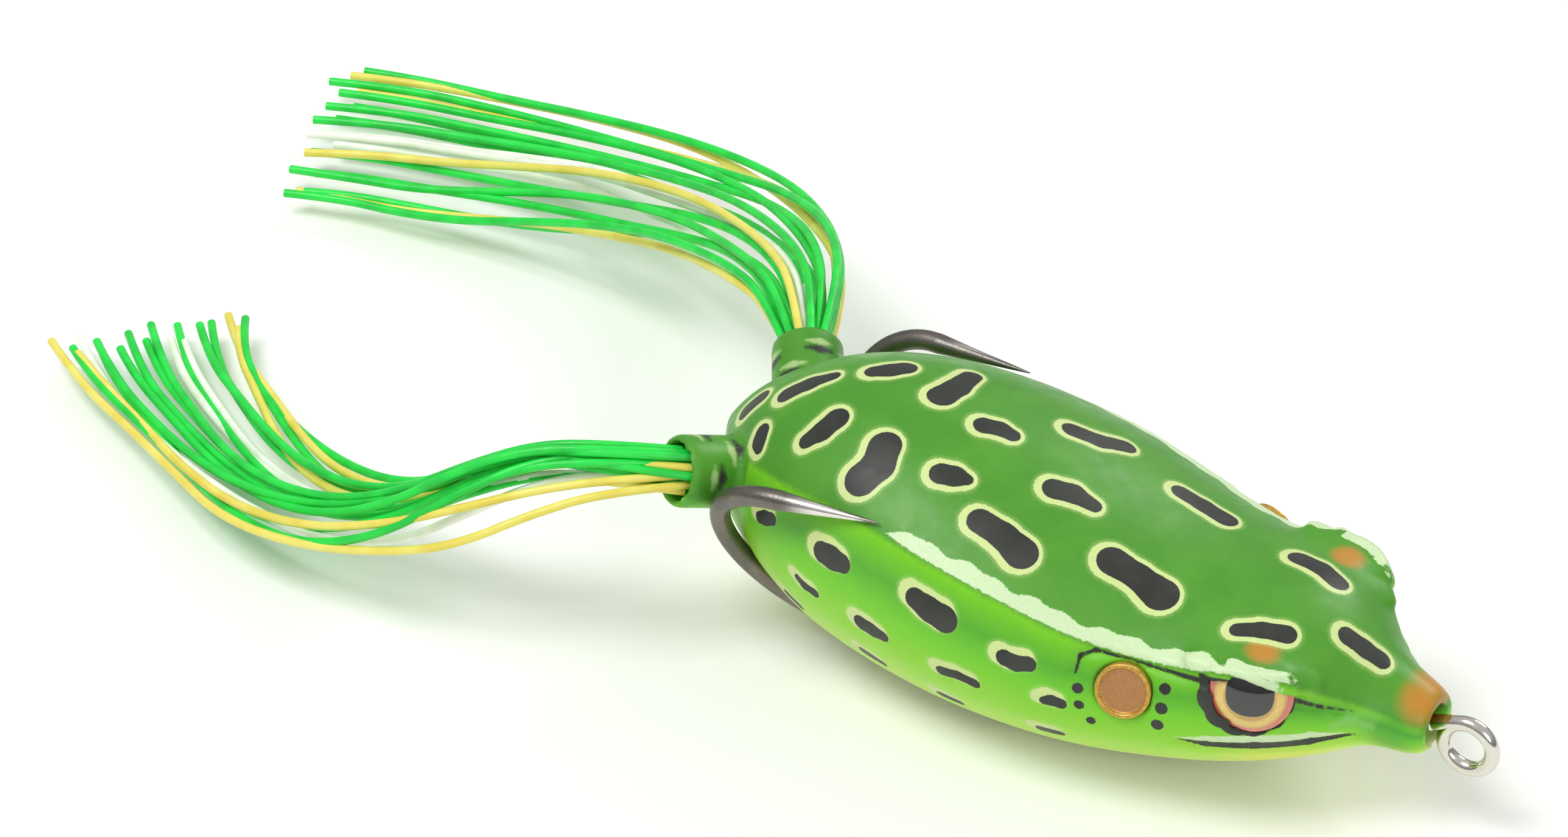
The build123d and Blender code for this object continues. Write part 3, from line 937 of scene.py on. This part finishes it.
def skin_material():
    """Airbrushed soft plastic: a mid green back, lime flanks and a pale belly, under spots and lines."""
    paint = Shader("frog_skin", coat_weight=0.05, coat_roughness=0.25, specular_ior_level=0.3)
    over = paint.jitter(paint.attribute("over_mm"), 0.5, 0.5, 3)
    level = paint.jitter(paint.attribute("level"), 0.05, 1.2, 3)
    flank = paint.ramp(level, [
        (0.00, srgb(120, 200, 34)),
        (0.07, srgb(104, 186, 40)),
        (0.16, srgb(84, 168, 42)),
        (0.30, srgb(112, 200, 38)),
        (0.52, srgb(146, 216, 50)),
        (0.72, srgb(186, 230, 92)),
        (0.90, srgb(226, 241, 166)),
    ])
    mottle = paint.spread(paint.noise(4.0, 4), 0.3, 0.75)
    back = paint.mix(mottle, srgb(72, 144, 38), srgb(84, 154, 44))
    colour = paint.mix(paint.below(over, 0.0, 0.7), back, flank)
    colour = paint.mix(paint.math("MULTIPLY", paint.attribute("chin"), 0.8), colour, srgb(222, 226, 96))
    colour = paint.mix(paint.math("MULTIPLY", paint.attribute("nose_tint"), 0.55), colour, srgb(58, 142, 58))
    speckle = paint.noise(0.16, 2, 0.6)
    orange_share = paint.math("SUBTRACT", paint.math("MULTIPLY", paint.attribute("orange"), 1.5), speckle)
    colour = paint.mix(paint.spread(orange_share, -0.1, 1.1, 0.0, 0.85), colour, srgb(202, 128, 46))
    cream = paint.mix(speckle, srgb(190, 214, 124), srgb(214, 228, 164))
    halo = paint.spread(paint.jitter(paint.attribute("pale_mm"), 0.5, 0.16), 0.0, 0.4, 0.22, 0.0)
    colour = paint.mix(halo, colour, cream)
    pale = paint.jitter(paint.attribute("pale_mm"), 0.22, 0.22)
    colour = paint.mix(paint.below(pale, 0.0, 0.1), colour, cream)
    stripe = paint.jitter(paint.attribute("stripe_mm"), 0.4, 0.3, 3)
    frost = paint.mix(speckle, srgb(184, 216, 158), srgb(216, 234, 192))
    colour = paint.mix(paint.below(stripe, 0.0, 0.12), colour, frost)
    lip = paint.jitter(paint.attribute("lip_mm"), 0.2, 0.2)
    colour = paint.mix(paint.below(lip, 0.0, 0.14), colour, frost)
    nostril = paint.jitter(paint.attribute("nostril_mm"), 0.3, 0.3)
    colour = paint.mix(paint.spread(nostril, -0.1, 0.4, 0.4, 0.0), colour, srgb(150, 206, 120))
    mark = paint.jitter(paint.attribute("tube_pale_mm"), 0.4, 0.2, 3)
    colour = paint.mix(paint.spread(mark, -0.2, 0.1, 0.8, 0.0), colour, srgb(182, 208, 142))
    charcoal = paint.mix(mottle, srgb(42, 44, 40), srgb(58, 60, 54))
    for name, jitter, soft in (
        ("tube_dark_mm", 0.4, 0.4),
        ("dark_mm", 0.1, 0.07),
        ("mouth_mm", 0.12, 0.1),
        ("crease_mm", 0.16, 0.14),
        ("patch_mm", 0.12, 0.1),
    ):
        mark = paint.jitter(paint.attribute(name), jitter, 0.18)
        colour = paint.mix(paint.below(mark, 0.0, soft), colour, charcoal)
    paint.socket("Base Color", colour)
    paint.socket("Roughness", paint.spread(paint.noise(1.4, 3), 0.3, 0.7, 0.34, 0.46))
    grain = paint.math("ADD", paint.noise(0.14, 2), paint.math("MULTIPLY", paint.noise(1.1, 2), 0.8))
    paint.bump(grain, 0.02, 0.5)
    return paint.material


# ---------------------------------------------------------------- eyes and discs
def lathe(name, profile, centre, normal, turns=96):
    """A closed round solid; profile is radius and height, from the base's middle to the top's middle."""
    made = bmesh.new()
    across = normal.orthogonal().normalized()
    aside = normal.cross(across)
    rings = []
    for radius, height in profile:
        if radius < 1e-6:
            rings.append([made.verts.new((centre + normal * height) * MM)])
            continue
        ring = []
        for step in range(turns):
            angle = 2 * math.pi * step / turns
            spoke = across * math.cos(angle) + aside * math.sin(angle)
            ring.append(made.verts.new((centre + normal * height + spoke * radius) * MM))
        rings.append(ring)
    for lower, upper in zip(rings, rings[1:]):
        for step in range(turns):
            after = (step + 1) % turns
            if len(lower) == 1:
                made.faces.new((lower[0], upper[after], upper[step]))
            elif len(upper) == 1:
                made.faces.new((lower[step], lower[after], upper[0]))
            else:
                made.faces.new((lower[step], lower[after], upper[after], upper[step]))
    bmesh.ops.recalc_face_normals(made, faces=made.faces)
    mesh = bpy.data.meshes.new(name)
    made.to_mesh(mesh)
    made.free()
    for face in mesh.polygons:
        face.use_smooth = True
    places = vertex_places(mesh) - np.array(centre)
    heights = places @ np.array(normal)
    away = np.linalg.norm(places - heights[:, None] * np.array(normal), axis=1)
    layer = mesh.attributes.new("away_mm", "FLOAT", "POINT")
    layer.data.foreach_set("value", away.astype(np.float32))
    return link(bpy.data.objects.new(name, mesh))


def cut_above(obj, centre, up, height):
    """Takes off what lies more than height above the centre, and closes the cut."""
    made = bmesh.new()
    made.from_mesh(obj.data)
    everything = made.verts[:] + made.edges[:] + made.faces[:]
    cut = bmesh.ops.bisect_plane(
        made, geom=everything, plane_co=(centre + up * height) * MM, plane_no=up, clear_outer=True
    )
    rim = [part for part in cut["geom_cut"] if isinstance(part, bmesh.types.BMEdge)]
    bmesh.ops.holes_fill(made, edges=rim, sides=0)
    made.to_mesh(obj.data)
    made.free()


def dome_profile():
    base = -EYE_SINK
    rim = base + EYE_RIM
    ball_r = (EYE_R**2 + EYE_DOME**2) / (2 * EYE_DOME)
    steps = 40
    profile = [(0, base), (EYE_R - 0.1, base), (EYE_R, base + 0.1), (EYE_R, rim - 0.05)]
    for step in range(1, steps + 1):
        radius = (EYE_R - 0.03) * (1 - step / steps)
        profile.append((radius, rim + EYE_DOME - ball_r + math.sqrt(ball_r**2 - radius**2)))
    return profile


def pupil_distances(eye, centre, normal, up):
    """How far each point is from the pupil's middle, which sits a little high; the pupil is squarish."""
    forward = up.cross(normal)
    off = vertex_places(eye.data) - np.array(centre)
    above, ahead = np.abs(off @ np.array(up) - PUPIL_RAISE), np.abs(off @ np.array(forward))
    layer = eye.data.attributes.new("pupil_mm", "FLOAT", "POINT")
    layer.data.foreach_set("value", ((above**2.5 + ahead**2.5) ** 0.4).astype(np.float32))


def eye_material():
    """A glossy lens over a printed iris: black pupil, gold ring and pink outer ring."""
    paint = Shader("eye_lens", roughness=0.12, coat_weight=1.0, coat_roughness=0.04)
    away = paint.attribute("away_mm")
    flecks = paint.noise(0.3, 3, 0.7)
    gold = paint.mix(flecks, srgb(206, 166, 72), srgb(236, 208, 116))
    inner_shade = paint.spread(away, 1.83, 2.1, 1.0, 0.0)
    gold = paint.mix(paint.math("MULTIPLY", inner_shade, 0.5), gold, srgb(150, 96, 30))
    outer_shade = paint.spread(away, 2.4, 2.72, 0.0, 1.0)
    gold = paint.mix(paint.math("MULTIPLY", outer_shade, 0.55), gold, srgb(168, 104, 44))
    pink = paint.mix(flecks, srgb(196, 84, 70), srgb(222, 122, 100))
    wavy = paint.jitter(away, 0.06, 0.4)
    pupil = paint.below(paint.jitter(paint.attribute("pupil_mm"), 0.06, 0.4), 1.8, 0.05)
    colour = paint.mix(pupil, gold, srgb(30, 31, 29))
    colour = paint.mix(paint.below(wavy, 2.7, 0.05), pink, colour)
    paint.socket("Base Color", colour)
    return paint.material


def make_eyes():
    material = eye_material()
    for side_name in SIDES:
        centre, normal, _, up = eye_frame(side_name)
        eye = lathe(f"{side_name}_eye_lens", dome_profile(), centre, normal)
        cut_above(eye, centre, up, EYE_CUT)
        pupil_distances(eye, centre, normal, up)
        eye.data.materials.append(material)
        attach(eye, "frog")
        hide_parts(f"{side_name}_eye")


def disc_material():
    """Coined bronze: a matt copper face inside a rubbed golden rim."""
    paint = Shader("disc_bronze", roughness=0.5, metallic=0.55)
    away = paint.attribute("away_mm")
    fleck = paint.noise(0.25, 4, 0.7)
    face = paint.mix(paint.spread(fleck, 0.3, 0.7), srgb(176, 126, 78), srgb(188, 140, 90))
    rim = paint.mix(paint.spread(fleck, 0.3, 0.7), srgb(178, 134, 52), srgb(216, 176, 84))
    share = paint.below(paint.jitter(away, 0.1, 0.25), 1.72, 0.1)
    paint.socket("Base Color", paint.mix(share, rim, face))
    paint.socket("Roughness", paint.mix(share, (0.34, 0.34, 0.34, 1), (0.56, 0.56, 0.56, 1)))
    paint.bump(fleck, 0.03, 0.6)
    return paint.material


def make_discs():
    material = disc_material()
    base, face_top = -DISC_SINK, DISC_THICKNESS - DISC_SINK
    top = face_top + DISC_RIM
    profile = [
        (0, base),
        (DISC_R - 0.08, base),
        (DISC_R, base + 0.08),
        (DISC_R, top - 0.12),
        (DISC_R - 0.04, top - 0.04),
        (DISC_R - 0.12, top),
        (DISC_R - 0.24, top),
        (DISC_R - 0.33, top - 0.05),
        (DISC_R - 0.38, face_top + 0.12),
        (DISC_R - 0.44, face_top + 0.03),
        (DISC_R - 0.55, face_top),
        (0.8, face_top),
        (0, face_top),
    ]
    for side_name in SIDES:
        centre, normal = mirrored(DISC_CENTRE, side_name), mirrored(DISC_NORMAL, side_name)
        disc = lathe(f"{side_name}_disc_plate", profile, centre, normal)
        disc.data.materials.append(material)
        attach(disc, "frog")
        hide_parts(f"{side_name}_tympanum_disc")


# ---------------------------------------------------------------- CAD pieces that keep their shape
def hook_material():
    """Black-nickel plate: brushed along the wire, rubbed lighter in places, with a painted highlight on the
    hook points.
    """
    paint = Shader("hook_steel", roughness=0.35, metallic=0.9)
    cloud = paint.noise(2.5, 4, 0.6)
    streak = paint.noise(0.2, 3, 0.7)
    split = paint.node("ShaderNodeSeparateXYZ")
    paint.feed(split.inputs[0], paint.place())
    out_from_middle = paint.math("ABSOLUTE", split.outputs["Y"])
    # Painted highlight on the hook points: where the wire lies more than 11.7 mm out to the side and forward
    # of x = -17.5 mm, it is painted near white and made glossier.
    point_highlight = paint.math(
        "MULTIPLY",
        paint.spread(out_from_middle, 11.45 * MM, 11.7 * MM),
        paint.spread(split.outputs["X"], -20.5 * MM, -17.5 * MM),
    )
    tone = paint.mix(paint.spread(cloud, 0.35, 0.7), srgb(118, 114, 108), srgb(142, 132, 124))
    tone = paint.mix(paint.math("MULTIPLY", streak, 0.4), tone, srgb(84, 82, 80))
    # The painted highlight on the hook points goes into the base colour here.
    paint.socket("Base Color", paint.mix(point_highlight, tone, srgb(232, 228, 222)))
    rough = paint.spread(streak, 0.3, 0.7, 0.28, 0.44)
    paint.socket("Roughness", paint.math("MULTIPLY", rough, paint.spread(point_highlight, 0.0, 1.0, 1.0, 0.4)))
    paint.bump(streak, 0.02, 0.5)
    return paint.material


def nickel_material():
    paint = Shader("tie_nickel", roughness=0.14, metallic=1.0)
    cloud = paint.noise(0.9, 3)
    paint.socket("Base Color", paint.mix(cloud, srgb(206, 202, 190), srgb(230, 228, 220)))
    paint.socket("Roughness", paint.spread(cloud, 0.3, 0.7, 0.10, 0.20))
    paint.bump(paint.noise(0.3, 3), 0.01, 0.4)
    return paint.material


def weight_material():
    """Painted lead: satin, a little uneven from casting."""
    paint = Shader("weight_paint", roughness=0.5)
    cloud = paint.noise(1.6, 3)
    paint.socket("Base Color", paint.mix(cloud, srgb(212, 230, 156), srgb(226, 240, 178)))
    paint.bump(paint.noise(0.5, 4), 0.05, 0.6)
    return paint.material


def band_material():
    paint = Shader("band_rubber", roughness=0.7)
    cloud = paint.noise(0.6, 3)
    paint.socket("Base Color", paint.mix(cloud, srgb(26, 26, 26), srgb(44, 44, 42)))
    paint.bump(paint.noise(0.2, 3), 0.03, 0.6)
    return paint.material


def dress(node, material):
    """Gives a CAD piece its material."""
    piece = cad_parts[node]
    piece.data.materials.clear()
    piece.data.materials.append(material)


def make_hardware(strand_materials):
    dress("double_hook", hook_material())
    dress("line_tie", nickel_material())
    dress("keel_weight", weight_material())
    band = band_material()
    for side_name in SIDES:
        dress(f"{side_name}_leg_band", band)
        dress(f"{side_name}_leg_root", strand_materials["green"])


# ---------------------------------------------------------------- build
bpy.context.scene.view_settings.view_transform = "Standard"
make_camera()
make_stage()
strands = make_legs()
make_skin()
make_eyes()
make_discs()
make_hardware(strands)
